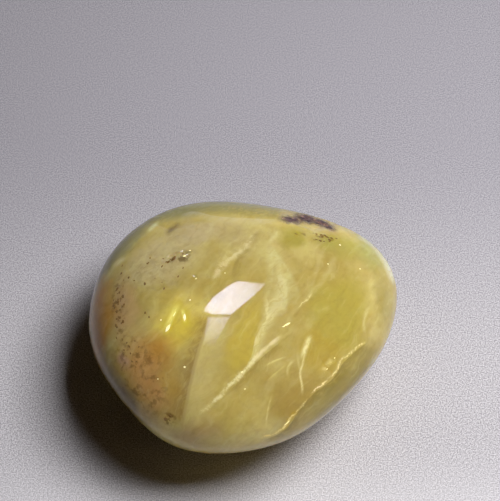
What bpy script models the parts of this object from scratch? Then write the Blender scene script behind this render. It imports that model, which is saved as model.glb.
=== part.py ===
"""A tumbled opal pebble: one solid of translucent yellow-green common opal, worn round on every side.

The stone lies on its broad belly with +Z up, its length along X and the side that is usually
looked at facing -Y. The origin is on the resting flat, below the middle of the stone's box.
"""

import math

import bmesh
import bpy
from mathutils import Matrix, Vector

MM = 0.001

# The rounded body that the worn faces cut into: half length, half width and half height in mm, and
# how far its length is turned from +X towards +Y, in degrees.
BODY_HALF_SIZES = (18.4, 15.4, 9.6)
BODY_TURN = 18

# The worn faces that the tumbling left, as (azimuth, elevation) in degrees and distance in mm from
# the middle of the stone. Azimuth is measured from +X towards +Y, elevation from the horizontal.
WORN_FACES = (
    ("straight back", 76, 28, 13.2),
    ("narrow end shoulder", 38, 12, 17.8),
    ("broad end", 178, 12, 17.0),
    ("broad end underside", 218, -20, 14.6),
    ("front underside", 276, -32, 12.8),
    ("long flank", 316, -18, 12.8),
    ("narrow end", 348, -5, 16.0),
)
# How sharply the worn faces turn into the body: 2 would melt them away, and 20 leaves clear edges.
CORNER_POWER = 9

# Shallow hollows that the polish didn't reach the bottom of: azimuth and elevation in degrees,
# then half width and depth in mm.
HOLLOWS = (
    ("host rock scar", 51, 33, 4.2, 0.45),
    ("old chip", 128, 30, 3.4, 0.30),
    ("healed crack", 100, 62, 3.0, 0.16),
    ("underside dent", 300, -58, 3.6, 0.35),
)

BELLY_CUT = 9.2  # mm below the middle, where the stone has worn flat against the tumbler's floor
SURFACE_STEPS = 5  # subdivisions of the ball that the stone is shaped from

OPAL_COLOUR = (0.50, 0.39, 0.095)
OPAL_ROUGHNESS = 0.08
OPAL_IOR = 1.45
OPAL_CLARITY = 0.5


def direction(azimuth, elevation):
    """The unit vector that points at this azimuth and elevation, both in degrees."""
    turn, rise = math.radians(azimuth), math.radians(elevation)
    return Vector((math.cos(turn) * math.cos(rise), math.sin(turn) * math.cos(rise), math.sin(rise)))


def worn_distance(ray):
    """How far the stone reaches along a unit ray, in mm: a power sum over its body and its worn faces."""
    along_body = Matrix.Rotation(math.radians(-BODY_TURN), 3, "Z") @ ray
    total = Vector(part / half for part, half in zip(along_body, BODY_HALF_SIZES)).length ** CORNER_POWER
    for _, azimuth, elevation, distance in WORN_FACES:
        facing = ray.dot(direction(azimuth, elevation))
        total += max(facing / distance, 0.0) ** CORNER_POWER
    return total ** (-1 / CORNER_POWER)


def hollow_depth(point):
    """How deep the hollows are at a point of the surface, in mm, falling smoothly to nothing at their rims."""
    depth = 0.0
    for _, azimuth, elevation, half_width, deepest in HOLLOWS:
        aim = direction(azimuth, elevation)
        away = (point - aim * worn_distance(aim)).length / half_width
        if away < 1:
            depth += deepest * (1 - away * away) ** 2
    return depth


def surface_point(ray):
    """The point of the stone's surface along a unit ray from its middle, in metres."""
    reach = worn_distance(ray)
    return ray * (reach - hollow_depth(ray * reach)) * MM


def flatten_belly(stone):
    """Cuts the stone level where it rests and closes the cut with one flat face."""
    level = Vector((0, 0, -BELLY_CUT * MM))
    everything = stone.verts[:] + stone.edges[:] + stone.faces[:]
    cut = bmesh.ops.bisect_plane(
        stone, geom=everything, dist=1e-7, plane_co=level, plane_no=(0, 0, -1), clear_outer=True
    )
    rim = [item for item in cut["geom_cut"] if isinstance(item, bmesh.types.BMEdge)]
    bmesh.ops.edgeloop_fill(stone, edges=rim)


def stand_on_origin(stone):
    """Moves the stone so that the middle of its box is over the origin and its belly is at zero height."""
    lowest = Vector(min(vert.co[axis] for vert in stone.verts) for axis in range(3))
    highest = Vector(max(vert.co[axis] for vert in stone.verts) for axis in range(3))
    middle = (lowest + highest) / 2
    bmesh.ops.translate(stone, verts=stone.verts, vec=(-middle.x, -middle.y, -lowest.z))


def opal_material():
    """Common opal, tumbled to a bright polish, which lets about half of the light in."""
    material = bpy.data.materials.new("polished_yellow_opal")
    material.use_nodes = True
    shader = material.node_tree.nodes["Principled BSDF"]
    shader.inputs["Base Color"].default_value = (*OPAL_COLOUR, 1)
    shader.inputs["Roughness"].default_value = OPAL_ROUGHNESS
    shader.inputs["Metallic"].default_value = 0.0
    shader.inputs["IOR"].default_value = OPAL_IOR
    shader.inputs["Transmission Weight"].default_value = OPAL_CLARITY
    return material


def make_opal():
    """The stone itself: a ball pushed out to the worn faces, dented by the hollows and cut at the belly."""
    stone = bmesh.new()
    bmesh.ops.create_icosphere(stone, subdivisions=SURFACE_STEPS, radius=1)
    for vert in stone.verts:
        vert.co = surface_point(vert.co.normalized())
    flatten_belly(stone)
    stand_on_origin(stone)
    bmesh.ops.recalc_face_normals(stone, faces=stone.faces)

    mesh = bpy.data.meshes.new("opal")
    stone.to_mesh(mesh)
    stone.free()
    mesh.shade_smooth()
    mesh.set_sharp_from_angle(angle=math.radians(40))
    mesh.materials.append(opal_material())
    opal = bpy.data.objects.new("opal", mesh)
    bpy.context.scene.collection.objects.link(opal)
    return opal


def main():
    for leftover in list(bpy.data.objects):
        bpy.data.objects.remove(leftover)
    make_opal()


main()
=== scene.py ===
"""The looks of a tumbled opal pebble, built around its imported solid.

The stone lies on its belly at the origin, in metres, with +Z up and the viewer on the -Y side.
"""

import math

import bmesh
import bpy
import numpy as np
from mathutils import Matrix, Vector, noise
from mathutils.bvhtree import BVHTree


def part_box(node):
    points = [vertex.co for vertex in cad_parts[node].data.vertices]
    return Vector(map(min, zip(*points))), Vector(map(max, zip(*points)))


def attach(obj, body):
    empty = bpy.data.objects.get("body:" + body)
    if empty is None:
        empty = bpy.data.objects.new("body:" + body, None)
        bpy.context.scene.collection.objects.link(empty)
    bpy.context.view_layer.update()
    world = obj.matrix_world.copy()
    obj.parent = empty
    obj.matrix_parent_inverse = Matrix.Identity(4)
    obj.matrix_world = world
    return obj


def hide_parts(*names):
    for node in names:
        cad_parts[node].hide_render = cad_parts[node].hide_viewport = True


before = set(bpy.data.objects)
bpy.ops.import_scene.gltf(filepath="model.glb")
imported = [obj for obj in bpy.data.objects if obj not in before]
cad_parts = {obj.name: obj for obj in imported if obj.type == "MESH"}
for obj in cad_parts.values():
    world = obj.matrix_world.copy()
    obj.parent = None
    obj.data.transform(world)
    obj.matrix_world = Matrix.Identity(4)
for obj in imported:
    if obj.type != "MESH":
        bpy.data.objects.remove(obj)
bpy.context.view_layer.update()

# The viewpoint.
# The stone was photographed from above its near side, through a long lens that flattens it only a
# little. The pieces inside it are placed by where they show from here, so the camera comes first.
MM = 0.001
PICTURE_WIDTH = 500
PICTURE_HEIGHT = 501
VIEW_ELEVATION = math.radians(62)
VIEW_DISTANCE = 170 * MM
VIEW_SPAN = 51.6 * MM  # how much of the scene the picture's width covers at the stone
STONE_MIDDLE_PIXEL = (242.7, 324.4)
SENSOR_WIDTH = 36.0  # mm, laid along the picture's longer side
CLIP_RANGE = (0.01, 10)  # metres

stone_middle = Vector((0, 0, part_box("opal")[1].z / 2))
focal_pixels = PICTURE_WIDTH / VIEW_SPAN * VIEW_DISTANCE
to_viewer = Vector((0, -math.cos(VIEW_ELEVATION), math.sin(VIEW_ELEVATION)))
upwards = Vector((0, math.sin(VIEW_ELEVATION), math.cos(VIEW_ELEVATION)))
view_place = stone_middle + to_viewer * VIEW_DISTANCE
view_look = (
    -to_viewer * focal_pixels
    + Vector((1, 0, 0)) * (PICTURE_WIDTH / 2 - STONE_MIDDLE_PIXEL[0])
    + upwards * (STONE_MIDDLE_PIXEL[1] - PICTURE_HEIGHT / 2)
).normalized()
view_right = view_look.cross(Vector((0, 0, 1))).normalized()
view_up = view_right.cross(view_look)


def place_new(name, data):
    """A new object with this data, linked into the scene."""
    made = bpy.data.objects.new(name, data)
    bpy.context.scene.collection.objects.link(made)
    return made


def make_camera():
    lens = bpy.data.cameras.new("long_lens")
    lens.sensor_width = SENSOR_WIDTH
    lens.lens = focal_pixels * SENSOR_WIDTH / max(PICTURE_WIDTH, PICTURE_HEIGHT)
    lens.clip_start, lens.clip_end = CLIP_RANGE
    camera = place_new("viewpoint", lens)
    camera.location = view_place
    camera.rotation_mode = "QUATERNION"
    camera.rotation_quaternion = view_look.to_track_quat("-Z", "Y")
    bpy.context.scene.camera = camera


def sight_line(pixel):
    """The direction in which the viewer sees a pixel of the picture."""
    across = pixel[0] - PICTURE_WIDTH / 2
    above = PICTURE_HEIGHT / 2 - pixel[1]
    return (view_look * focal_pixels + view_right * across + view_up * above).normalized()


make_camera()

# The stone.
# One lump of common opal, hardened silica jelly that filled a gap in its host rock. Weeks of
# tumbling in finer and finer grit wore it round and gave it a wet-looking polish, and left only
# the scar of the host rock and a few pits that the grit couldn't reach.
BALL_STEPS = 126  # quads along each side of the ball that is fitted to the solid
SMOOTHING_PASSES = 60
WEAR_RIPPLE = 0.012  # mm, the slight unevenness that tumbling leaves
WEAR_RIPPLE_SIZE = 3.5  # mm
SCAR_PIXEL = (309, 221)
SCAR_HALF_WIDTH = 3.3  # mm
SCAR_RELIEF = 0.16  # mm
SCAR_LUMPS_PER_MM = 1.7
PITS = (  # pixel, half width in mm, depth in mm
    ((171, 257), 0.42, 0.16),
    ((176, 254), 0.30, 0.10),
    ((183, 252), 0.38, 0.14),
    ((188, 255), 0.30, 0.12),
    ((147, 263), 0.22, 0.08),
    ((164, 262), 0.20, 0.06),
    ((195, 277), 0.28, 0.08),
    ((168, 418), 0.34, 0.10),
)


def ball_mesh(steps):
    """A cube cut into steps by steps quads a side and blown up to a ball with even spacing."""
    ball = bmesh.new()
    bmesh.ops.create_cube(ball, size=2)
    bmesh.ops.subdivide_edges(ball, edges=ball.edges[:], cuts=steps - 1, use_grid_fill=True)
    for vert in ball.verts:
        vert.co = Vector(math.tan(side * math.pi / 4) for side in vert.co).normalized()
    mesh = bpy.data.meshes.new("opal_stone")
    ball.to_mesh(mesh)
    ball.free()
    return mesh


def average_neighbours(values, ends, passes):
    """Evens out one value per vertex over the mesh's edges."""
    links = np.bincount(ends.ravel(), minlength=len(values))
    for _ in range(passes):
        total = np.bincount(ends[:, 0], values[ends[:, 1]], len(values))
        total += np.bincount(ends[:, 1], values[ends[:, 0]], len(values))
        values = (values + total / links) / 2
    return values


def stone_mesh():
    """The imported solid's form on a fine mesh, so that its facets are gone from the polish."""
    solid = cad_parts["opal"].data
    tree = BVHTree.FromPolygons(
        [vert.co for vert in solid.vertices], [face.vertices[:] for face in solid.polygons]
    )
    mesh = ball_mesh(BALL_STEPS)
    rays = [vert.co.copy() for vert in mesh.vertices]
    reach = np.array([tree.ray_cast(stone_middle, ray)[3] for ray in rays], float)
    ends = np.array([edge.vertices[:] for edge in mesh.edges])
    reach = average_neighbours(reach, ends, SMOOTHING_PASSES)
    points = np.array(stone_middle) + np.array(rays) * reach[:, None]
    mesh.vertices.foreach_set("co", points.astype(np.float32).ravel())
    mesh.update()
    return mesh


def stone_tree(mesh):
    return BVHTree.FromPolygons(
        [vert.co for vert in mesh.vertices], [face.vertices[:] for face in mesh.polygons]
    )


def bell(distance, half_width):
    """1 at no distance, easing to 0 at the half width."""
    return max(0.0, 1 - (distance / half_width) ** 2) ** 2


def add_relief(mesh, tree):
    """Scar, pits and the slight ripple of the wear, and a belly that stays flat."""
    scar = tree.ray_cast(view_place, sight_line(SCAR_PIXEL))[0]
    pits = [
        (tree.ray_cast(view_place, sight_line(pixel))[0], half_width * MM, depth * MM)
        for pixel, half_width, depth in PITS
    ]
    normals = [vert.normal.copy() for vert in mesh.vertices]
    for vert, normal in zip(mesh.vertices, normals):
        place = vert.co / MM
        push = WEAR_RIPPLE * noise.noise(place / WEAR_RIPPLE_SIZE)
        in_scar = bell((vert.co - scar).length / MM, SCAR_HALF_WIDTH)
        if in_scar > 0:
            push -= SCAR_RELIEF * in_scar * noise.turbulence(place * SCAR_LUMPS_PER_MM, 3, True)
        for pit, half_width, depth in pits:
            push -= depth / MM * bell((vert.co - pit).length, half_width)
        vert.co += normal * push * MM
        vert.co.z = max(vert.co.z, 0)
    mesh.update()


def linear(hex_colour):
    """The linear colour of an sRGB hex value."""
    shares = [int(hex_colour[start : start + 2], 16) / 255 for start in (1, 3, 5)]
    return [s / 12.92 if s < 0.04045 else ((s + 0.055) / 1.055) ** 2.4 for s in shares] + [1]


def add_node(tree, kind, inputs=None, **settings):
    """Adds a node with its settings, and fills each input with a value or a link."""
    node = tree.nodes.new(kind)
    for name, value in settings.items():
        setattr(node, name, value)
    for socket, value in (inputs or {}).items():
        if isinstance(value, bpy.types.NodeSocket):
            tree.links.new(value, node.inputs[socket])
        else:
            node.inputs[socket].default_value = value
    return node


def new_material(name):
    """A material and its node tree, still empty."""
    material = bpy.data.materials.new(name)
    material.use_nodes = True
    material.node_tree.nodes.clear()
    return material, material.node_tree


MIX_FACTOR, MIX_A, MIX_B, MIX_RESULT = 0, 6, 7, 2  # the colour sockets of a Mix node
PIXEL_MM = VIEW_SPAN / PICTURE_WIDTH / MM  # one pixel of the picture at the stone, in mm

# Clouds of colour in the opal, as seen in the picture: pixel of the middle, half width and half
# height in pixels, turn in degrees against the clock, how far out the full colour reaches as a
# share of the half width, colour, and how much of it shows.
CLOUDS = (
    ("beige top left", (160, 258), 62, 38, 28, 0.3, "#c9b988", 0.9),
    ("grey beige under the skin", (198, 231), 38, 15, 8, 0.3, "#c0b08a", 0.7),
    ("tan by the specks", (121, 306), 22, 46, 4, 0.3, "#cba878", 0.75),
    ("tan above the crumbly crack", (232, 233), 32, 18, -10, 0.2, "#bba878", 0.6),
    ("yellow middle", (225, 300), 60, 60, 30, 0.1, "#d2be6a", 0.6),
    ("yellow heart", (180, 322), 42, 42, 10, 0.2, "#ecd872", 0.9),
    # Painted glow: the opal's own yellow, lightened where light shines through the heart.
    ("painted glow in the heart", (178, 328), 26, 26, 0, 0.1, "#ecd555", 0.85),
    ("honey below the window", (243, 340), 20, 46, -24, 0.4, "#d6c056", 0.9),
    ("honey right", (338, 312), 40, 56, -14, 0.4, "#c2b254", 0.95),
    ("honey by the golden crack", (318, 352), 26, 30, 30, 0.3, "#c6ad4a", 0.8),
    ("pale green right", (370, 252), 36, 26, -40, 0.2, "#a6a566", 0.85),
    ("green right of the scar", (336, 246), 34, 18, -20, 0.2, "#b0ab52", 0.6),
    ("green below the scar", (292, 240), 18, 16, 0, 0.2, "#b5aa40", 0.7),
    ("smoky lower right", (344, 388), 70, 20, 47, 0.4, "#a8974c", 0.9),
    ("brown lower middle", (292, 402), 40, 34, 40, 0.0, "#b4964c", 0.6),
    ("yellow-green low", (228, 404), 48, 46, 20, 0.3, "#cdb866", 0.85),
    ("beige low", (196, 432), 36, 18, 10, 0.2, "#b89c6c", 0.7),
    ("brown cloud", (146, 374), 40, 60, 18, 0.15, "#d0a264", 0.95),
    ("orange in the cloud", (163, 350), 24, 26, 30, 0.1, "#d4a048", 0.8),
    ("yellow in the cloud", (172, 384), 16, 24, 0, 0.1, "#cbab52", 0.7),
    ("brown left", (98, 318), 22, 74, 0, 0.3, "#d8a250", 0.95),
    ("olive low left", (118, 398), 20, 62, 33, 0.3, "#806a2c", 0.75),
    ("green top left", (122, 246), 52, 17, 48, 0.4, "#9a9460", 0.9),
    ("right end", (390, 296), 24, 60, 0, 0.2, "#aa9c5e", 0.7),
    ("lilac spot", (123, 361), 7, 14, 15, 0.1, "#c49c88", 0.7),
)
CLOUD_DEPTH = 6.0  # mm that a cloud reaches into the stone
CLOUD_RAGGEDNESS, CLOUD_WANDER_SIZE = 1.5, 4.0  # mm that the clouds' edges wander by, and over

# Clouds on the sides that the picture hides: mm right of, above and towards the viewer from the
# stone's middle, half sizes in mm, turn, full share, colour, amount.
HIDDEN_CLOUDS = (
    ("brown belly left", (-8, -9, -5), (9, 7, 7), 20, 0.2, "#8c6734", 0.8),
    ("honey belly", (7, -5, -8), (8, 9, 6), -30, 0.3, "#cdb340", 0.8),
    ("milky belly", (-2, 2, -9), (5, 10, 4), 35, 0.2, "#d8cf9c", 0.7),
    ("olive back", (-3, 12, -3), (14, 4, 6), 5, 0.4, "#8f8f68", 0.9),
    ("honey back", (7, 9, -7), (6, 5, 5), 10, 0.3, "#c7ae46", 0.8),
)

# Cracks and seams where they meet the polish, and a few lines of painted shade, sheen and glint, as
# seen in the picture: the pixels that they pass through, how far their colour fades to the left and
# to the right of that walk in mm, colour, and strength. A crack that slants into the stone fades
# slowly on the side that it runs down to.
WALL_RUN = ((211, 312), (205, 332), (198, 352), (193, 372), (189, 390), (185, 410), (181, 426))
SEAMS = (
    ("olive skin", ((104, 272), (122, 243), (150, 220), (182, 209), (212, 208), (250, 210), (290, 216)),
     1.2, 1.3, "#8c864e", 0.75),
    ("soft wall", WALL_RUN, 0.3, 2.4, "#98723a", 0.55),
    ("wall light", WALL_RUN, 3.4, 0.25, "#cfbf82", 0.5),
    # Painted shade: brown along the right side of the crumbly crack.
    ("brown by the crumbly crack", ((262, 226), (247, 246), (236, 262), (232, 284)),
     0.9, 0.25, "#a08a48", 0.4),
    ("veil", ((266, 238), (273, 249), (280, 259), (286, 268), (292, 280), (297, 292), (298, 306)),
     0.5, 2.6, "#c8c690", 0.3),
    ("veil body", ((268, 322), (276, 305), (282, 288), (280, 268)), 1.5, 1.3, "#d8d8b0", 0.32),
    ("branch", ((248, 364), (253, 353), (256, 339), (262, 327), (267, 317), (263, 302)),
     0.14, 1.2, "#dcd6a2", 0.6),
    ("shade under the feather", ((228, 394), (246, 374), (262, 358), (284, 340)),
     0.1, 1.1, "#a38b3c", 0.45),
    ("feather head", ((246, 368), (261, 352), (270, 344), (284, 333)), 0.22, 0.42, "#dccf9e", 0.85),
    ("feather beyond", ((284, 329), (290, 317), (302, 303), (314, 292), (324, 280), (331, 266), (338, 254)),
     0.6, 0.35, "#d6ca8e", 0.26),
    ("streak above it", ((304, 302), (313, 284), (319, 262), (326, 244)), 0.4, 0.3, "#cfc48a", 0.2),
    ("upright feather", ((302, 398), (302, 386), (300, 373), (303, 362), (304, 352)),
     0.18, 0.22, "#ded498", 0.8),
    ("upright feather head", ((301, 362), (306, 347), (312, 332)), 0.5, 0.42, "#dcd49c", 0.95),
    ("upright feather wing", ((301, 374), (298, 362), (297, 350)), 0.16, 0.3, "#d6ca88", 0.5),
    ("veil fork", ((266, 245), (272, 239), (281, 228)), 0.35, 0.5, "#d4cc92", 0.55),
    ("veil crest", ((270, 245), (278, 256), (286, 267), (293, 280)), 0.2, 0.5, "#d4d0a0", 0.14),
    ("veil rib", ((269, 244), (272, 262), (271, 282), (264, 304)), 0.3, 0.8, "#d2ce9c", 0.25),
    ("inner veil rib", ((271, 246), (280, 266), (286, 290), (284, 316)), 0.3, 0.8, "#d2ce9c", 0.22),
    ("outer veil rib", ((264, 292), (268, 306), (262, 326), (255, 346)), 0.12, 0.5, "#d8d098", 0.4),
    ("skin boundary", ((178, 216), (195, 212), (212, 216), (232, 218), (250, 219), (281, 220)),
     0.12, 1.0, "#c9bf9a", 0.5),
    ("green stroke", ((146, 234), (153, 227), (161, 220)), 0.42, 0.36, "#d6d398", 0.9),
    ("left stroke", ((112, 269), (119, 262), (127, 257)), 0.4, 0.4, "#d6cc96", 0.85),
    ("dark stroke", ((164, 236), (172, 229), (182, 221)), 0.5, 0.5, "#84704a", 0.75),
    ("leaf", ((262, 368), (274, 361), (289, 356)), 0.12, 0.2, "#dccf86", 0.75),
    ("lower leaf", ((266, 382), (277, 372), (288, 363)), 0.12, 0.2, "#d8c778", 0.75),
    ("leaf tip", ((288, 379), (288, 368), (297, 357)), 0.2, 0.26, "#d6c98a", 0.7),
    ("low upright", ((266, 430), (268, 408), (273, 392)), 0.14, 0.2, "#d9cb8a", 0.75),
    ("low ripple", ((232, 442), (250, 432), (270, 429)), 0.2, 0.35, "#c4b070", 0.5),
    ("smoke", ((262, 441), (286, 429), (300, 410), (312, 396), (332, 380), (345, 362), (370, 341)),
     0.10, 1.5, "#87763e", 0.5),
    ("golden halo", ((274, 434), (285, 427), (291, 418), (300, 408)), 0.45, 0.35, "#d8b93c", 0.7),
    ("right hairline", ((371, 304), (366, 314), (364, 326), (366, 337)), 0.3, 0.3, "#d6cf9c", 0.45),
    # Painted glints: the tears are bright yellow where small flat cracks mirror the light, with a painted glow
    # round each.
    ("tear glow", ((164, 338), (169, 325), (176, 310), (184, 296)), 1.1, 0.7, "#f0da48", 0.75),
    ("small tear glow", ((188, 330), (186, 317), (184, 304)), 0.7, 0.7, "#f2dc4c", 0.75),
    ("tear", ((165, 336), (168, 328), (173, 316), (181, 301)), 0.62, 0.34, "#fff288", 1.0),
    ("small tear", ((185, 324), (184, 316), (182, 308)), 0.26, 0.3, "#fff48c", 1.0),
    # Painted sheen: a pale silvery line along the upper right outline, standing in for the soft light that the
    # polish mirrors there.
    ("pale right rim", ((356, 234), (370, 240), (384, 252), (393, 268), (397, 286)),
     0.5, 0.9, "#dcdac2", 0.8),
    ("shade round the scar", ((274, 216), (300, 219), (320, 224), (342, 233)), 1.1, 0.9, "#958475", 0.5),
    # Painted shade: a dark line along the left outline, on the side away from the lamp.
    ("left rind", ((104, 258), (95, 280), (91, 305), (90, 330), (94, 352), (104, 378), (120, 404), (140, 424)),
     0.4, 0.6, "#6a4e28", 0.35),
)
# Seams whose filling is crumbly, so that they show as rows of grains.
CRUMBLY_SEAMS = (
    ("long feather", ((197, 415), (203, 411), (217, 399), (234, 381), (241, 375), (249, 365), (262, 351)),
     0.34, 0.32, "#ded5a2", 0.9),
    ("feather crumbs", ((233, 385), (240, 376), (246, 373)), 0.6, 0.5, "#e0d79e", 0.6),
    ("crumbly crack", ((256, 231), (247, 244), (239, 252), (229, 259), (218, 271), (211, 283)),
     0.60, 0.42, "#d6c896", 0.8),
    ("crumbly crack left", ((236, 247), (224, 258), (214, 272)), 0.45, 0.4, "#d3c48a", 0.6),
    ("grains beyond the feather", ((295, 311), (304, 302), (315, 291)), 0.12, 0.10, "#eadf9e", 0.5),
    # The golden seams are iron stain, lightened as painted reflection where the open crack mirrors the light.
    ("golden crumbs", ((320, 376), (328, 366), (337, 357)), 0.7, 0.3, "#dccb86", 0.8),
    ("golden crack", ((273, 434), (284, 427), (290, 419), (297, 411), (305, 402), (309, 395)),
     0.16, 0.16, "#f2e09a", 0.8),
    ("golden straight", ((309, 395), (319, 387), (329, 378)), 0.13, 0.12, "#efe0ac", 0.9),
    ("golden start", ((257, 440), (264, 437), (273, 434), (284, 427)), 0.16, 0.16, "#f0dc88", 0.9),
    ("golden far", ((326, 380), (335, 372), (339, 365), (341, 361), (349, 354), (356, 348), (369, 339)),
     0.18, 0.16, "#ecdca0", 0.85),
)
SEAM_WOBBLE, SEAM_WOBBLE_SIZE = 0.06, 2.0  # mm that a seam wanders by, and over
CRUMBLE_WOBBLE, CRUMBLE_WOBBLE_SIZE = 0.25, 0.6  # mm, the same for a crumbly one
SEAM_END = 1.2  # mm over which a seam fades in at its ends, at most SEAM_END_SHARE of its length
SEAM_END_SHARE = 0.35
THREADS_PER_SLANT, THREADING = 4.5, (0.36, 0.58, 0.55, 1.0)  # noise from and to, seam's share there
CRUMBS_PER_MM, CRUMBLING = 1.9, (0.40, 0.58, 0.3, 1.0)
NEAR_SIDE = (-6.5, -3.0)  # mm towards the viewer over which seams and mottles come up
SEAM_BOW = 16.0  # mm, more than any seam bends aside from the line between its ends

# Brown mottles, where oxide dusts the opal: pixel, half width and half height in pixels, turn, amount.
MOTTLE_COLOUR, MOTTLE_FULL = "#75582c", 0.4
DUST_PER_MM, DUSTING = 1.3, (0.46, 0.66)
MOTTLES = (
    ((119, 308), 10, 42, 4, 0.55),
    ((150, 276), 50, 32, 15, 0.14),
    ((140, 376), 34, 54, 20, 0.5),
    ((182, 257), 15, 8, 15, 0.6),
    ((318, 237), 26, 6, -8, 0.5),
    ((169, 419), 9, 8, 0, 0.8),
)

# The host rock left in the scar, in four patches: pixel, half width and half height in pixels, turn.
ROCK_PATCHES = (
    ((292, 220), 17, 6.5, -2),
    ((306, 218), 18, 9.0, -12),
    ((320, 222), 17, 6.5, -20),
    ((329, 227), 11, 4.5, -25),
)
ROCK_DEPTH, ROCK_FULL = 8.0, 0.25  # mm, and how far out a patch is solid rock
ROCK_RAGGEDNESS, ROCK_WANDER_SIZE = 0.45, 0.5  # mm
ROCK_COLOURS = ((0.46, "#3a292f"), (0.61, "#6d5450"), (0.70, "#d2a998"))  # noise value, colour

# Streaks that run through all of the opal, and layers of the rock: sizes in mm, turn in degrees.
SLANTED = ((5.5, 1.4, 3.0), 48)
COMBED = ((3.4, 0.55, 2.0), 52)
LAYERED = ((1.3, 0.4, 1.0), -14)
BODY_LUMPS_PER_MM, BODY_COLOURS = 0.16, ((0.35, "#bfa95c"), (0.65, "#cfbf7a"))
SUGAR_PER_MM = 1.6
TINTS = (  # pattern, the noise where the tint starts and where it is full, share, colour
    ("fabric", 0.50, 0.80, 0.22, "#d9d098"),
    ("fabric", 0.48, 0.22, 0.20, "#a58d40"),
    ("streaks", 0.52, 0.76, 0.15, "#e2dba8"),
    ("streaks", 0.48, 0.26, 0.15, "#96803a"),
    ("sugar", 0.42, 0.70, 0.10, "#87753a"),
)

# How the opal takes the light. The pairs and fours are a quantity from and to, and its effect.
CLARITY = (0.04, 0.36, 0.42, 0.10)  # by the blue in the colour: yellow opal is the clearer one
RIM_MILKINESS = (1.0, 6.0, 0.05, 1.0)  # by mm towards the viewer: the share of clarity that stays
LOW_SIDE, LOW_SIDE_RANGE = Vector((0.4, -0.9, 0)), (3.0, 7.0)  # the lower right rim, in mm
RIM_DEPTH = (4.0, 0.5)  # mm towards the viewer
POLISH_ROUGHNESS, ROCK_ROUGHNESS, RIM_ROUGHNESS = 0.04, 0.4, 0.03
OPAL_IOR, POLISH_SPECULAR = 1.45, 0.32
MILK_SHARE, MILK_REACH = 0.8, 4.0  # share of the light that scatters, and mm that it travels
MILK_COLOUR_REACH = (1.0, 0.75, 0.3)
TINT_COLOUR, TINT_DENSITY = "#f2da70", 28.0  # of the clear opal, per metre


def picture_plane(point):
    """A point as mm right of, above and in front of the stone's middle, as the viewer sees it."""
    away = (point - stone_middle) / MM
    return Vector((away.x, away.dot(upwards), away.dot(to_viewer)))


def on_stone(tree, pixel):
    """The point of the polish that shows at a pixel of the picture, and the way it faces."""
    seen = Vector(pixel)
    while True:
        place, facing, _, _ = tree.ray_cast(view_place, sight_line(seen))
        if place:
            return place, facing
        seen = seen.lerp(Vector(STONE_MIDDLE_PIXEL), 0.01)  # just past the outline, so a little inwards


def seen_at(tree, pixel):
    """The point of the polish that shows at a pixel, in the picture plane."""
    return picture_plane(on_stone(tree, pixel)[0])


def vector_math(nodes, operation, first, second=(0, 0, 0)):
    """The result of a Vector Math node: a number for a length or a dot product, otherwise a vector."""
    inputs = {0: first, "Scale" if operation == "SCALE" else 1: second}
    node = add_node(nodes, "ShaderNodeVectorMath", inputs, operation=operation)
    return node.outputs["Value" if operation in ("LENGTH", "DOT_PRODUCT") else "Vector"]


def spread(nodes, colour, amount):
    """Noise colours as shifts that go both ways."""
    centred = vector_math(nodes, "SUBTRACT", colour, (0.5, 0.5, 0.5))
    return vector_math(nodes, "SCALE", centred, amount)


def wandering(nodes, place, size, amount):
    """Moves a place by noise of that size, by up to about half the amount each way, in mm."""
    inputs = {"Vector": place, "Scale": 1 / size, "Detail": 3, "Roughness": 0.6}
    drift = add_node(nodes, "ShaderNodeTexNoise", inputs).outputs["Color"]
    return vector_math(nodes, "ADD", place, spread(nodes, drift, amount * 2))


def pattern(nodes, place, scale, roughness=0.5, detail=3, distortion=0.0):
    """Noise around 0.5, with that many lumps to a unit of its space."""
    inputs = {"Vector": place, "Scale": scale, "Roughness": roughness, "Detail": detail}
    return add_node(nodes, "ShaderNodeTexNoise", {**inputs, "Distortion": distortion}).outputs["Fac"]


def eased(nodes, value, start, end, low=0.0, high=1.0):
    """A smooth step from one value to another as a quantity goes from start to end."""
    inputs = {"Value": value, "From Min": start, "From Max": end, "To Min": low, "To Max": high}
    return add_node(nodes, "ShaderNodeMapRange", inputs, interpolation_type="SMOOTHSTEP").outputs[0]


def worked_out(nodes, operation, first, second=0.0):
    """The result of a Math node."""
    return add_node(nodes, "ShaderNodeMath", {0: first, 1: second}, operation=operation).outputs[0]


def product(nodes, first, *others):
    """Several numbers multiplied."""
    for other in others:
        first = worked_out(nodes, "MULTIPLY", first, other)
    return first


def mixed(nodes, share, first, second):
    """Two colours mixed by a share, each a socket or an sRGB hex value."""
    first, second = (linear(colour) if isinstance(colour, str) else colour for colour in (first, second))
    inputs = {MIX_FACTOR: share, MIX_A: first, MIX_B: second}
    return add_node(nodes, "ShaderNodeMix", inputs, data_type="RGBA").outputs[MIX_RESULT]


def ramped(nodes, value, stops):
    """A colour ramp through stops, each a value and an sRGB hex colour."""
    node = add_node(nodes, "ShaderNodeValToRGB", {"Fac": value})
    elements = node.color_ramp.elements
    for element, (position, hex_colour) in zip(elements[:], (stops[0], stops[-1])):
        element.position, element.color = position, linear(hex_colour)
    for position, hex_colour in stops[1:-1]:
        elements.new(position).color = linear(hex_colour)
    return node.outputs["Color"]


def finish_material(nodes, inputs):
    """A lone Principled surface with these inputs, and the output that it goes to."""
    surface = add_node(nodes, "ShaderNodeBsdfPrincipled", inputs)
    return add_node(nodes, "ShaderNodeOutputMaterial", {"Surface": surface.outputs[0]})


def stretched(nodes, place, sizes, turn, middle=(0, 0, 0)):
    """A place in a space turned by that many degrees and stretched to those sizes, in mm."""
    inputs = {"Vector": place, "Location": middle, "Rotation": (0, 0, math.radians(turn)), "Scale": sizes}
    return add_node(nodes, "ShaderNodeMapping", inputs, vector_type="TEXTURE").outputs[0]


def in_cloud(nodes, place, middle, half_sizes, turn, full):
    """How far a place is inside a soft ellipsoid of the picture plane, from 0 to 1."""
    away = vector_math(nodes, "LENGTH", stretched(nodes, place, half_sizes, turn, middle))
    return eased(nodes, away, 1.0, full)


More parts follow.
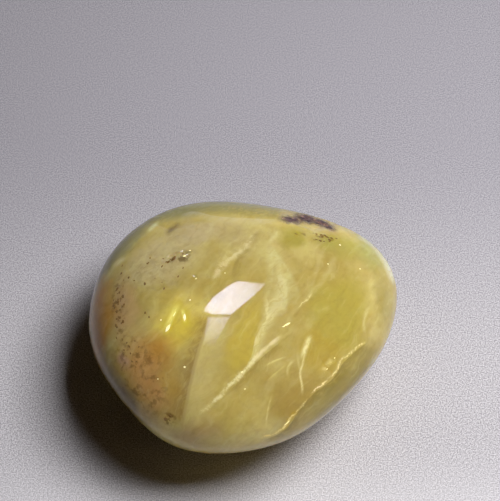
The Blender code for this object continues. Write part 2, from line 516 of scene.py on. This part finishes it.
def in_patch(nodes, tree, place, patch, full, depth=CLOUD_DEPTH):
    """How far a place is inside a patch: pixel, half width and half height in pixels, and turn."""
    pixel, half_width, half_height, turn = patch
    half_sizes = (half_width * PIXEL_MM, half_height * PIXEL_MM, depth)
    return in_cloud(nodes, place, seen_at(tree, pixel), half_sizes, turn, full)


def share_of_way(nodes, place, start, way):
    """How far a place has come from the start, as a share of a way in the picture plane."""
    return worked_out(nodes, "SUBTRACT", vector_math(nodes, "DOT_PRODUCT", place, way), start.dot(way))


def on_seam(nodes, place, run, fade_left, fade_right):
    """How strongly a place lies on a seam, a bent run through points of the picture plane in mm."""
    length = (run[-1] - run[0]).length
    turn = math.atan2(run[-1].y - run[0].y, run[-1].x - run[0].x)
    along = Vector((math.cos(turn), math.sin(turn), 0))
    across = Vector((-math.sin(turn), math.cos(turn), 0))
    way = share_of_way(nodes, place, run[0], along / length)
    height = share_of_way(nodes, place, run[0] - across * SEAM_BOW / 2, across / SEAM_BOW)
    bow = add_node(nodes, "ShaderNodeFloatCurve", {"Value": way})
    line = bow.mapping.curves[0]
    for number, point in enumerate(run):
        knot = ((point - run[0]).dot(along) / length, (point - run[0]).dot(across) / SEAM_BOW + 0.5)
        if number in (0, len(run) - 1):
            line.points[0 if number == 0 else -1].location = knot
        else:
            line.points.new(*knot)
    bow.mapping.update()
    aside = worked_out(nodes, "SUBTRACT", height, bow.outputs[0])
    left = worked_out(nodes, "MULTIPLY", aside, SEAM_BOW / fade_left)
    right = worked_out(nodes, "MULTIPLY", aside, -SEAM_BOW / fade_right)
    near = eased(nodes, worked_out(nodes, "MAXIMUM", left, right), 1.0, 0.0)
    from_middle = worked_out(nodes, "ABSOLUTE", worked_out(nodes, "SUBTRACT", way, 0.5))
    between_ends = eased(nodes, from_middle, 0.5, 0.5 - min(SEAM_END_SHARE, SEAM_END / length))
    return worked_out(nodes, "MULTIPLY", near, between_ends)


def opal_material(tree):
    """Common opal under a tumbler's polish: wet-looking, milky where pale and clearer where yellow."""
    material, nodes = new_material("opal_tumbled")
    place = add_node(nodes, "ShaderNodeTexCoord").outputs["Object"]
    centred = vector_math(nodes, "SUBTRACT", place, stone_middle)
    to_picture = {"Rotation": (VIEW_ELEVATION - math.pi / 2, 0, 0), "Scale": (1 / MM, 1 / MM, 1 / MM)}
    flat = add_node(nodes, "ShaderNodeMapping", {"Vector": centred, **to_picture}).outputs[0]
    depth = add_node(nodes, "ShaderNodeSeparateXYZ", {0: flat}).outputs["Z"]
    near_side = eased(nodes, depth, *NEAR_SIDE)
    ragged = wandering(nodes, flat, CLOUD_WANDER_SIZE, CLOUD_RAGGEDNESS)
    crumbly = wandering(nodes, flat, ROCK_WANDER_SIZE, ROCK_RAGGEDNESS)
    colour = ramped(nodes, pattern(nodes, flat, BODY_LUMPS_PER_MM, 0.55, 4), BODY_COLOURS)
    for name, *patch, full, hex_colour, amount in CLOUDS:
        share = product(nodes, in_patch(nodes, tree, ragged, patch, full), amount)
        colour = mixed(nodes, share, colour, hex_colour)
    for name, middle, half_sizes, turn, full, hex_colour, amount in HIDDEN_CLOUDS:
        share = product(nodes, in_cloud(nodes, ragged, middle, half_sizes, turn, full), amount)
        colour = mixed(nodes, share, colour, hex_colour)
    slanted = stretched(nodes, ragged, *SLANTED)
    patterns = {
        "fabric": pattern(nodes, slanted, 1.0),
        "streaks": pattern(nodes, stretched(nodes, ragged, *COMBED), 1.0, 0.55),
        "sugar": pattern(nodes, flat, SUGAR_PER_MM, 0.6),
    }
    for name, start, full, share, hex_colour in TINTS:
        colour = mixed(nodes, eased(nodes, patterns[name], start, full, 0, share), colour, hex_colour)
    threads = eased(nodes, pattern(nodes, slanted, THREADS_PER_SLANT, 0.65), *THREADING)
    crumbs = eased(nodes, pattern(nodes, flat, CRUMBS_PER_MM, 0.7), *CRUMBLING)
    for seams, size, wobble, filling in (
        (SEAMS, SEAM_WOBBLE_SIZE, SEAM_WOBBLE, threads),
        (CRUMBLY_SEAMS, CRUMBLE_WOBBLE_SIZE, CRUMBLE_WOBBLE, crumbs),
    ):
        line = wandering(nodes, flat, size, wobble)
        filling = product(nodes, filling, near_side)
        for name, pixels, fade_left, fade_right, hex_colour, strength in seams:
            run = [seen_at(tree, pixel) * Vector((1, 1, 0)) for pixel in pixels]
            seam = on_seam(nodes, line, run, fade_left, fade_right)
            colour = mixed(nodes, product(nodes, seam, strength, filling), colour, hex_colour)
    dusty = product(nodes, eased(nodes, pattern(nodes, flat, DUST_PER_MM, 0.6), *DUSTING), near_side)
    for *patch, amount in MOTTLES:
        field = in_patch(nodes, tree, flat, patch, MOTTLE_FULL)
        colour = mixed(nodes, product(nodes, field, amount, dusty), colour, MOTTLE_COLOUR)
    rock = 0.0
    for patch in ROCK_PATCHES:
        solid = in_patch(nodes, tree, crumbly, patch, ROCK_FULL, ROCK_DEPTH)
        rock = worked_out(nodes, "MAXIMUM", rock, solid)
    blue = add_node(nodes, "ShaderNodeSeparateColor", {0: colour}).outputs["Blue"]
    layers = pattern(nodes, stretched(nodes, crumbly, *LAYERED), 1.0, 0.7)
    colour = mixed(nodes, rock, colour, ramped(nodes, layers, ROCK_COLOURS))
    not_rock = worked_out(nodes, "SUBTRACT", 1.0, rock)
    stays = eased(nodes, depth, *RIM_MILKINESS)
    low_side = eased(nodes, share_of_way(nodes, flat, Vector(), LOW_SIDE), *LOW_SIDE_RANGE)
    output = finish_material(
        nodes,
        {
            "Base Color": colour,
            "Roughness": eased(nodes, rock, 0.0, 1.0, POLISH_ROUGHNESS, ROCK_ROUGHNESS),
            "IOR": OPAL_IOR,
            "Specular IOR Level": POLISH_SPECULAR,
            # The coat stands for the second reflection along the low rim.
            "Coat Weight": product(nodes, eased(nodes, depth, *RIM_DEPTH), low_side),
            "Coat Roughness": RIM_ROUGHNESS,
            "Transmission Weight": product(nodes, eased(nodes, blue, *CLARITY), not_rock, stays),
            "Subsurface Weight": MILK_SHARE,
            "Subsurface Radius": MILK_COLOUR_REACH,
            "Subsurface Scale": MILK_REACH * MM,
        },
    )
    tint = {"Color": linear(TINT_COLOUR), "Density": TINT_DENSITY}
    inside = add_node(nodes, "ShaderNodeVolumeAbsorption", tint).outputs[0]
    nodes.links.new(inside, output.inputs["Volume"])
    return material


opal_mesh = stone_mesh()
add_relief(opal_mesh, stone_tree(opal_mesh))
opal_mesh.shade_smooth()
opal_tree = stone_tree(opal_mesh)
opal_mesh.materials.append(opal_material(opal_tree))
opal = place_new("opal_stone", opal_mesh)
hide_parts("opal")
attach(opal, "root")

# The healed cracks.
# Opal shrinks as it dries and cracks from the skin inwards. Later silica healed these cracks, and
# left each as a thin pale film that runs down from its trace in the polish into the clear stone.
SHEETS = (  # the trace, how deep it runs in mm, and how far its foot leans in mm: right, and up
    ("long feather", 4.5, (2.4, -2.6)),
    ("feather head", 4.5, (2.4, -2.6)),
    ("feather beyond", 3.5, (1.8, -1.6)),
    ("branch", 3.0, (-1.6, -0.4)),
    ("upright feather", 3.0, (1.4, 0.2)),
    ("upright feather head", 2.5, (1.2, 0.4)),
    ("veil", 4.0, (-2.6, -0.8)),
    ("crumbly crack", 3.5, (-2.0, 1.2)),
    ("skin boundary", 3.0, (0.6, 1.6)),
    ("wall light", 5.0, (3.0, 0.4)),
    ("leaf", 2.0, (0.8, -1.2)),
)
SHEET_COVER = 0.06  # mm of clear stone over a sheet's upper edge
SHEET_STEP = 0.22  # mm between the points of a sheet
SHEET_CRUMPLE, CRUMPLES_PER_MM = 0.30, 0.8  # mm that a sheet is thrown out of its plane
FOOT_RAGGEDNESS, FOOT_LUMPS_PER_MM = 0.45, 0.35  # the foot's depth varies by that share
SHEET_END_DEPTH = 0.35  # share of its depth that a sheet has at its ends
WISPS_PER_MM, WISP_RANGE = (2.2, 0.55, 0.0), (0.36, 0.68)
NOISE_SEED = 5  # vector noise takes its start from the clock unless it is seeded


def along_pixels(pixels, step_pixels):
    """The pixels of a trace at even steps, on a smooth curve through its own pixels."""
    knots = [Vector(pixel) for pixel in pixels]
    knots = [2 * knots[0] - knots[1]] + knots + [2 * knots[-1] - knots[-2]]
    found = []
    for before, start, end, after in zip(knots, knots[1:], knots[2:], knots[3:]):
        count = max(1, round((end - start).length / step_pixels))
        for number in range(count):
            t = number / count
            found.append(
                0.5
                * (
                    2 * start
                    + (end - before) * t
                    + (2 * before - 5 * start + 4 * end - after) * t * t
                    + (3 * start - before - 3 * end + after) * t**3
                )
            )
    return found + [knots[-2]]


def add_sheet(builder, tree, pixels, depth, lean):
    """A crumpled film from a trace down into the stone, with its own UV map in mm."""
    map_layer = builder.loops.layers.uv.verify()
    vectors = builder.verts.layers.float_vector
    share_layer = vectors.get("film") or vectors.new("film")
    tops = along_pixels(pixels, SHEET_STEP / PIXEL_MM)
    rows = max(3, round(depth / SHEET_STEP))
    columns = []
    travelled = 0
    last = None
    for number, pixel in enumerate(tops):
        top, _ = on_stone(tree, pixel)
        travelled += 0 if last is None else (top - last).length / MM
        last = top
        end_fade = min(1, 4 * number / len(tops), 4 * (len(tops) - 1 - number) / len(tops))
        raggedness = FOOT_RAGGEDNESS * noise.noise(top / MM * FOOT_LUMPS_PER_MM)
        reach = depth * (1 - FOOT_RAGGEDNESS + raggedness)
        reach *= SHEET_END_DEPTH + (1 - SHEET_END_DEPTH) * end_fade
        foot = (Vector((lean[0], 0, 0)) + upwards * lean[1] - to_viewer * depth) * MM
        column = []
        for row in range(rows + 1):
            share = row / rows
            place = top + foot * share * reach / depth
            crumple = noise.noise_vector(place / MM * CRUMPLES_PER_MM) * SHEET_CRUMPLE * MM
            place += crumple * min(1, share * 4)
            skin, outward, _, _ = tree.find_nearest(place)
            if (place - skin).dot(outward) > -SHEET_COVER * MM:
                place = skin - outward * SHEET_COVER * MM
            vert = builder.verts.new(place)
            vert[share_layer] = (travelled, share * reach, share)
            column.append(vert)
        columns.append(column)
    for left, right in zip(columns, columns[1:]):
        for row in range(rows):
            face = builder.faces.new((left[row], right[row], right[row + 1], left[row + 1]))
            for loop in face.loops:
                film = loop.vert[share_layer]
                loop[map_layer].uv = (film[0], film[1])



def film_material(name, hex_colour, edge_alpha, foot_alpha):
    """A crack's film: satin and a little cloudier than the stone, in wisps that fade with depth."""
    material, nodes = new_material(name)
    film = add_node(nodes, "ShaderNodeAttribute", attribute_name="film").outputs["Vector"]
    down = add_node(nodes, "ShaderNodeSeparateXYZ", {0: film}).outputs["Z"]
    wisps = add_node(nodes, "ShaderNodeMapping", {"Vector": film, "Scale": WISPS_PER_MM}).outputs[0]
    wispy = eased(nodes, pattern(nodes, wisps, 1.0, 0.65, 5, 0.6), *WISP_RANGE)
    depths = {"Value": down, "To Min": edge_alpha, "To Max": foot_alpha}
    fade = add_node(nodes, "ShaderNodeMapRange", depths).outputs[0]
    colour = mixed(nodes, pattern(nodes, film, 3.0, 0.6), hex_colour, "#d9cf9c")
    alpha = product(nodes, wispy, fade)
    finish_material(nodes, {"Base Color": colour, "Roughness": 0.45, "IOR": 1.46, "Alpha": alpha})
    return material


def mesh_from(name, builder, material):
    """A mesh under construction as a finished one in this material."""
    mesh = bpy.data.meshes.new(name)
    builder.to_mesh(mesh)
    builder.free()
    mesh.materials.append(material)
    return mesh


def finish_piece(name, builder, material, smooth=True):
    """Makes a piece of the stone from a mesh under construction, riding on the stone's body."""
    mesh = mesh_from(name, builder, material)
    if smooth:
        mesh.shade_smooth()
    piece = place_new(name, mesh)
    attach(piece, "root")
    return piece


seam_pixels = {name: pixels for name, pixels, *_ in SEAMS + CRUMBLY_SEAMS}
noise.seed_set(NOISE_SEED)
films = bmesh.new()
for name, depth, lean in SHEETS:
    add_sheet(films, opal_tree, seam_pixels[name], depth, lean)
finish_piece("healed_cracks", films, film_material("silica_film_healed", "#fbf8e4", 0.55, 0.12))

# The golden crack.
# The youngest crack, near the lower right edge, isn't healed. Air and a little iron stain lie in
# it, so it mirrors the light in a thin golden line, brightest at its belly. That light is painted:
# pale gold in its film and its seams, and a painted glint at the belly.
golden = bmesh.new()
for name in ("golden start", "golden crack", "golden straight", "golden far"):
    add_sheet(golden, opal_tree, seam_pixels[name], 2.2, (0.3, -0.4))
finish_piece("golden_crack", golden, film_material("iron_stain_and_painted_reflection_film", "#fff2b8", 0.42, 0.0))

# The glints.
# Small flat cracks that lie square to the light show as bright yellow tears and points. Here each
# is a flake on the polish, with the glint painted into its pale yellow colour.
GLINTS = (  # pixel, half length and half width in mm, turn in the picture in degrees
    ((168, 328), 0.45, 0.18, 64),
    ((174.5, 314), 0.35, 0.05, 66),
    ((184.6, 317.5), 0.40, 0.13, 95),
    ((287, 324.4), 0.46, 0.10, 28),
    ((283.5, 326.5), 0.16, 0.06, 20),
    ((161, 320), 0.10, 0.09, 0),
    ((184.6, 367), 0.13, 0.11, 0),
    ((196, 278.5), 0.14, 0.12, 0),
    ((190, 300), 0.10, 0.08, 0),
    ((158, 379), 0.08, 0.07, 0),
    ((340, 245), 0.12, 0.10, 0),
    ((360, 269), 0.08, 0.07, 0),
    ((328, 264), 0.08, 0.07, 0),
    ((225, 273), 0.07, 0.06, 0),
    ((190, 250.6), 0.12, 0.07, -20),
    ((184.6, 256), 0.20, 0.12, 15),
    ((287, 423), 0.40, 0.08, 44),
    ((242, 372), 0.14, 0.05, 10),
    ((245, 389), 0.12, 0.05, 15),
    ((334.6, 358), 0.09, 0.06, 40),
    ((327, 369), 0.12, 0.05, 35),
)
FLAKE_RISE = 0.012  # mm that a flake stands over the polish
FLAKE_THICKNESS = 0.12  # share of its half width that a flake's middle stands out on each side
FLAKE_SWELL, FLAKE_SEED_STEP = 0.3, 2.3  # unevenness of a flake's rim
GLINT_SIDES = 12


def flecked_material(name, flecks_per_metre, first, second, roughness):
    """An even surface, flecked finely with two colours."""
    material, nodes = new_material(name)
    place = add_node(nodes, "ShaderNodeTexCoord").outputs["Object"]
    colour = mixed(nodes, pattern(nodes, place, flecks_per_metre, detail=2), first, second)
    finish_material(nodes, {"Base Color": colour, "Roughness": roughness})
    return material


def add_glint(builder, tree, pixel, half_length, half_width, turn):
    """A thin pointed flake, closed on both sides, that lies on the polish."""
    middle, outward = on_stone(tree, pixel)
    a = math.radians(turn)
    along = Vector((math.cos(a), 0, 0)) + upwards * math.sin(a)
    along = (along - outward * along.dot(outward)).normalized()
    across = outward.cross(along)
    ring = []
    for number in range(GLINT_SIDES):
        angle = 2 * math.pi * number / GLINT_SIDES
        swell = 1 + FLAKE_SWELL * noise.noise(Vector((*pixel, number * FLAKE_SEED_STEP)))
        point = along * math.cos(angle) * half_length + across * math.sin(angle) ** 3 * half_width
        skin, away, _, _ = tree.find_nearest(middle + point * swell * MM)
        ring.append(builder.verts.new(skin + away * FLAKE_RISE * MM))
    for side in (1, -1):
        rise = FLAKE_RISE + side * half_width * FLAKE_THICKNESS
        peak = builder.verts.new(middle + outward * rise * MM)
        for first, second in zip(ring, ring[1:] + ring[:1]):
            builder.faces.new((first, second, peak) if side > 0 else (second, first, peak))


glints = bmesh.new()
for glint in GLINTS:
    add_glint(glints, opal_tree, *glint)
# Painted glint: an air gap in the opal mirrors the light, and this pale yellow satin paints that
# light, so that it stays bright from many sides.
air_gap = flecked_material("painted_glint_yellow", 900.0, "#fff27a", "#fffbe0", 0.3)
finish_piece("glints", glints, air_gap, smooth=False)

# The dark specks.
# Grains of manganese and iron oxide that were caught in the silica jelly as it set. They lie in the
# skin, partly cut flush by the polish: in a chain down the left side, scattered above it and by
# the scar. The small ones are scattered in fields, and the larger ones are set one by one.
SPECK_FIELDS = (  # pixel, half width and half height in pixels, turn, specks per mm2, size in mm
    ((119, 312), 8, 34, 4, 3.0, 0.14),
    ((131, 350), 14, 22, 25, 1.8, 0.13),
    ((150, 276), 46, 36, 15, 0.4, 0.14),
    ((326, 238), 16, 5, -14, 5.0, 0.14),
    ((171, 260), 8, 3, 25, 8.0, 0.15),
    ((185, 254), 7, 4, 15, 9.0, 0.14),
    ((168, 418), 6, 4, 0, 8.0, 0.14),
    ((297, 234), 10, 3, 0, 4.0, 0.11),
)
SINGLE_SPECKS = (  # pixel, size in mm
    ((117, 289), 0.20), ((119.5, 292.5), 0.16), ((123, 296.5), 0.20), ((118, 302), 0.17),
    ((113.5, 305.5), 0.20), ((124, 304.5), 0.15), ((117, 311.5), 0.19), ((116.5, 319), 0.18),
    ((123, 321.5), 0.20), ((117, 327), 0.15), ((147.5, 263.5), 0.18), ((144.5, 283.5), 0.16),
    ((164, 288.5), 0.14), ((128.5, 277.5), 0.15), ((183, 268), 0.14), ((178, 276.5), 0.14),
    ((145, 312.5), 0.15), ((149, 317), 0.13), ((174, 258), 0.32), ((168, 262), 0.18),
    ((316.5, 234), 0.16), ((316.5, 239.5), 0.14), ((320.5, 240.5), 0.18), ((327, 237), 0.20),
    ((330, 240), 0.16), ((336.5, 238.5), 0.14),
)
SPECK_DEPTH = 0.015  # mm that the middle of a speck lies under the polish
SPECK_SHAPE = (1, 0.75, 0.3)  # length, width and height of a single speck as shares of its size
SPECK_LUMPINESS, SPECK_LUMPS_PER_MM = 0.2, 6
FIELD_DEPTH = 5  # mm that a field of specks reaches into the picture
FIELD_FULL = 0.3  # share of the way out where a field is at its densest
GRAIN_LUMPS_PER_METRE = 9000.0
GRAIN_STRETCH = {"Min": (0.35, 0.35, 0.25), "Max": (1.4, 1.0, 0.35)}
FIRST_SEED = 11


def specks_tree():
    """Geometry Nodes that scatter grains under a patch of the stone's skin."""
    tree = bpy.data.node_groups.new("specks_under_the_skin", "GeometryNodeTree")
    sockets = tree.interface
    for kind, names in (
        ("Geometry", ("Geometry",)),
        ("Vector", ("Middle", "Turn", "Half size")),
        ("Float", ("Density", "Grain size", "Depth")),
        ("Int", ("Seed",)),
        ("Material", ("Material",)),
    ):
        for name in names:
            sockets.new_socket(name, in_out="INPUT", socket_type="NodeSocket" + kind)
    sockets.new_socket("Geometry", in_out="OUTPUT", socket_type="NodeSocketGeometry")
    given = add_node(tree, "NodeGroupInput").outputs
    place = add_node(tree, "GeometryNodeInputPosition").outputs[0]
    turned = add_node(
        tree,
        "ShaderNodeVectorRotate",
        {"Vector": vector_math(tree, "SUBTRACT", place, given["Middle"]), "Rotation": given["Turn"]},
        rotation_type="EULER_XYZ",
        invert=True,
    ).outputs[0]
    away = vector_math(tree, "LENGTH", vector_math(tree, "DIVIDE", turned, given["Half size"]))
    density = product(tree, eased(tree, away, 1.0, FIELD_FULL), given["Density"])
    points = add_node(
        tree,
        "GeometryNodeDistributePointsOnFaces",
        {"Mesh": given["Geometry"], "Density": density, "Seed": given["Seed"]},
        distribute_method="RANDOM",
    ).outputs
    inward = vector_math(tree, "SCALE", points["Normal"], given["Depth"])
    moved = {"Geometry": points["Points"], "Offset": inward}
    sunk = add_node(tree, "GeometryNodeSetPosition", moved).outputs[0]
    ball = {"Radius": given["Grain size"], "Subdivisions": 2}
    grain = add_node(tree, "GeometryNodeMeshIcoSphere", ball).outputs["Mesh"]
    lumpy = {"Scale": GRAIN_LUMPS_PER_METRE, "Detail": 1.0}
    lumps = add_node(tree, "ShaderNodeTexNoise", lumpy).outputs["Color"]
    pushed = {"Geometry": grain, "Offset": spread(tree, lumps, given["Grain size"])}
    rough_grain = add_node(tree, "GeometryNodeSetPosition", pushed).outputs[0]
    stretch = add_node(
        tree,
        "FunctionNodeRandomValue",
        {**GRAIN_STRETCH, "Seed": given["Seed"]},
        data_type="FLOAT_VECTOR",
    ).outputs[0]
    laid = {"Points": sunk, "Instance": rough_grain, "Rotation": points["Rotation"], "Scale": stretch}
    grains = add_node(tree, "GeometryNodeInstanceOnPoints", laid).outputs[0]
    real = add_node(tree, "GeometryNodeRealizeInstances", {"Geometry": grains}).outputs[0]
    dress = {"Geometry": real, "Material": given["Material"]}
    add_node(tree, "NodeGroupOutput", {0: add_node(tree, "GeometryNodeSetMaterial", dress).outputs[0]})
    return tree


def scattered(tree, values):
    """The plain mesh that the scattering nodes make on the stone with these values."""
    carrier = place_new("carrier", opal_mesh.copy())
    modifier = carrier.modifiers.new("scatter", "NODES")
    modifier.node_group = tree
    for item in tree.interface.items_tree:
        if item.in_out == "INPUT" and item.name in values:
            modifier[item.identifier] = values[item.name]
    bpy.context.view_layer.update()
    result = carrier.evaluated_get(bpy.context.evaluated_depsgraph_get())
    mesh = bpy.data.meshes.new_from_object(result)
    carrier.modifiers.remove(modifier)
    bpy.data.objects.remove(carrier)
    return mesh


def add_speck(builder, tree, pixel, size):
    """One flattened, lumpy grain in the skin."""
    place, outward = on_stone(tree, pixel)
    lying = Matrix.Translation(place - outward * SPECK_DEPTH * MM)
    lying @= outward.to_track_quat("Z", "Y").to_matrix().to_4x4()
    shape = lying @ Matrix.Diagonal((*(size * share for share in SPECK_SHAPE), 1))
    made = bmesh.ops.create_icosphere(builder, subdivisions=2, radius=MM, matrix=shape)
    for vert in made["verts"]:
        bump = noise.noise_vector(vert.co / MM * SPECK_LUMPS_PER_MM)
        vert.co += bump * size * SPECK_LUMPINESS * MM


speck_tree = specks_tree()
# Oxide is matt, and brown here, as the milky opal round it lightens what would be black.
oxide = flecked_material("oxide_grain", 1200.0, "#5f4520", "#8a6a38", 0.8)
specks = bmesh.new()
for number, (pixel, half_width, half_height, turn, density, size) in enumerate(SPECK_FIELDS):
    facing = Matrix.Rotation(math.pi / 2 - VIEW_ELEVATION, 3, "X")
    facing @= Matrix.Rotation(math.radians(turn), 3, "Z")
    field = scattered(
        speck_tree,
        {
            "Middle": on_stone(opal_tree, pixel)[0],
            "Turn": facing.to_euler(),
            "Half size": Vector((half_width * PIXEL_MM, half_height * PIXEL_MM, FIELD_DEPTH)) * MM,
            "Density": density / MM**2,
            "Grain size": size * MM,
            "Depth": -SPECK_DEPTH * MM,
            "Seed": FIRST_SEED + number,
            "Material": oxide,
        },
    )
    specks.from_mesh(field)
    bpy.data.meshes.remove(field)
for pixel, size in SINGLE_SPECKS:
    add_speck(specks, opal_tree, pixel, size)
finish_piece("dark_specks", specks, oxide)

# The floor and the light.
# A plain pale sheet carries the stone. A small soft lamp high on the right lights it and throws its
# shadow to the left. Two glowing panes stand for the window that shows in the polish.
FLOOR_SIZE = 3.0
FLOOR_GRAINS_PER_METRE, FLOOR_CONTRAST = 7000.0, (0.34, 0.66)
# Painted shade behind the stone and painted light in front of it, for how the lamp's light falls across the
# card.
FLOOR_PAINTED_LIGHT_AND_SHADE = (  # Y in metres where the shade starts and where it is full, share, colour
    (-0.005, 0.03, 0.5, "#807d88"),
    (-0.008, -0.026, 0.6, "#eae8ec"),
)
ROOM_STRENGTH = 0.008
GLOW_STRENGTH = 0.06
GLOW_FOCUS = 3
GLOW_AZIMUTH = 8
GLOW_ELEVATION = 45
WINDOW_DISTANCE = 1.0
PANE_SOFT_EDGE = 0.06  # share of the way to a pane's middle over which its edge comes up
PANES = (  # name, strength, and each corner: the pixel that mirrors it, and its share of the glow
    (
        "window", 26.0,
        ((202, 310.5, 0.9), (212, 298.5, 1), (227, 286.5, 1), (238, 280.5, 0.9), (250, 282.5, 0.75),
         (268, 283.5, 0.15), (259, 291, 0.5), (250, 299, 0.85), (239, 308, 1), (231, 315, 1),
         (212, 315, 1)),
    ),
    (
        "window_low_pane", 12.0,
        ((207.5, 317, 1), (205, 333, 0.6), (202, 350, 0), (214, 347, 0), (222, 331, 0.6), (230, 316, 1)),
    ),
)
MIRROR_STEPS = (-3, -1.5, 0, 1.5, 3)  # pixels over which the polish's facing is evened out


def make_floor():
    """A sheet of pale matt card with a fine light and dark grain, with painted shade behind and painted light
    in front.
    """
    sheet = bmesh.new()
    bmesh.ops.create_grid(sheet, x_segments=1, y_segments=1, size=FLOOR_SIZE / 2)
    material, nodes = new_material("floor_matt_card")
    place = add_node(nodes, "ShaderNodeTexCoord").outputs["Object"]
    grain = pattern(nodes, place, FLOOR_GRAINS_PER_METRE, 0.7, 2)
    colour = mixed(nodes, eased(nodes, grain, *FLOOR_CONTRAST), "#8e8b90", "#d4d1d6")
    back = add_node(nodes, "ShaderNodeSeparateXYZ", {0: place}).outputs["Y"]
    for start, full, share, hex_colour in FLOOR_PAINTED_LIGHT_AND_SHADE:
        colour = mixed(nodes, eased(nodes, back, start, full, 0.0, share), colour, hex_colour)
    finish_material(nodes, {"Base Color": colour, "Roughness": 0.9, "Specular IOR Level": 0.0})
    floor = place_new("floor", mesh_from("floor", sheet, material))


def direction(azimuth, elevation):
    """The unit vector towards an azimuth from +X to +Y and an elevation, in degrees."""
    a, e = math.radians(azimuth), math.radians(elevation)
    return Vector((math.cos(a) * math.cos(e), math.sin(a) * math.cos(e), math.sin(e)))


def make_light(name, azimuth, elevation, distance, width, height, watts):
    """A rectangular soft lamp facing the stone, seen neither in the polish nor through clear opal."""
    light = bpy.data.lights.new(name, "AREA")
    light.shape = "RECTANGLE"
    light.size = width
    light.size_y = height
    light.energy = watts
    lamp = place_new(name, light)
    away = direction(azimuth, elevation)
    along = Vector((-math.sin(math.radians(azimuth)), math.cos(math.radians(azimuth)), 0))
    lamp.location = stone_middle + away * distance
    lamp.rotation_mode = "QUATERNION"
    lamp.rotation_quaternion = Matrix((along, away.cross(along), away)).transposed().to_quaternion()
    lamp.visible_transmission = False
    lamp.visible_glossy = False
    return lamp


def mirrored(pixel):
    """Where the stone shows at a pixel, and the way its polish sends the viewer's glance from there."""
    facing = Vector()
    for x in MIRROR_STEPS:
        for y in MIRROR_STEPS:
            facing += on_stone(opal_tree, (pixel[0] + x, pixel[1] + y))[1]
    return on_stone(opal_tree, pixel)[0], sight_line(pixel).reflect(facing.normalized())


def make_pane(name, strength, outline):
    """A glowing pane, so shaped and placed that the polish shows it inside these pixels."""
    builder = bmesh.new()
    glow_layer = builder.verts.layers.float.new("glow")
    corners = []
    for x, y, glow in outline:
        place, away = mirrored((x, y))
        corners.append((place + away * WINDOW_DISTANCE, glow))
    middle = sum((corner for corner, _ in corners), Vector()) / len(corners)
    rings = []
    for inwards, brightness in ((0, 0), (PANE_SOFT_EDGE, 1)):
        ring = []
        for corner, glow in corners:
            vert = builder.verts.new(corner.lerp(middle, inwards))
            vert[glow_layer] = glow * brightness
            ring.append(vert)
        rings.append(ring)
    for number in range(len(corners)):
        before = number - 1
        builder.faces.new((rings[0][before], rings[0][number], rings[1][number], rings[1][before]))
    builder.faces.new(rings[1])
    bmesh.ops.triangulate(builder, faces=builder.faces[:])
    material, nodes = new_material(name + "_daylight")
    glow = add_node(nodes, "ShaderNodeAttribute", attribute_name="glow").outputs["Fac"]
    shine = {"Color": linear("#dcdcff"), "Strength": product(nodes, glow, strength)}
    light = add_node(nodes, "ShaderNodeEmission", shine)
    add_node(nodes, "ShaderNodeOutputMaterial", {"Surface": light.outputs[0]})
    pane = place_new(name, mesh_from(name, builder, material))
    pane.visible_diffuse = False  # far weaker than the key, so it shows in the polish alone
    pane.visible_transmission = False
    pane.visible_shadow = False


def make_world():
    """A dim room, with a broad soft glow on the side that the shadow falls away from."""
    world = bpy.data.worlds.new("soft_room")
    world.use_nodes = True
    nodes = world.node_tree
    nodes.nodes.clear()
    ahead = add_node(nodes, "ShaderNodeTexCoord").outputs["Generated"]
    facing = vector_math(nodes, "DOT_PRODUCT", ahead, direction(GLOW_AZIMUTH, GLOW_ELEVATION))
    lobe = worked_out(nodes, "POWER", worked_out(nodes, "MAXIMUM", facing), GLOW_FOCUS)
    strength = worked_out(nodes, "ADD", product(nodes, lobe, GLOW_STRENGTH), ROOM_STRENGTH)
    air = {"Color": linear("#e8b498"), "Strength": strength}
    background = add_node(nodes, "ShaderNodeBackground", air)
    add_node(nodes, "ShaderNodeOutputWorld", {"Surface": background.outputs[0]})
    bpy.context.scene.world = world


make_floor()
make_light("soft_key", 7, 66, 0.17, 0.075, 0.075, 0.42)
low_fill = make_light("low_fill", -52, 14, 0.2, 0.08, 0.03, 0.10)
# The fill stands for the light that comes up through the clear stone, so it falls on the stone alone.
stone_pieces = bpy.data.collections.new("stone_pieces")
for name in ("opal_stone", "healed_cracks", "golden_crack", "glints", "dark_specks"):
    stone_pieces.objects.link(bpy.data.objects[name])
low_fill.light_linking.receiver_collection = stone_pieces
for name, strength, outline in PANES:
    make_pane(name, strength, outline)
make_world()
bpy.context.scene.view_settings.view_transform = "Standard"
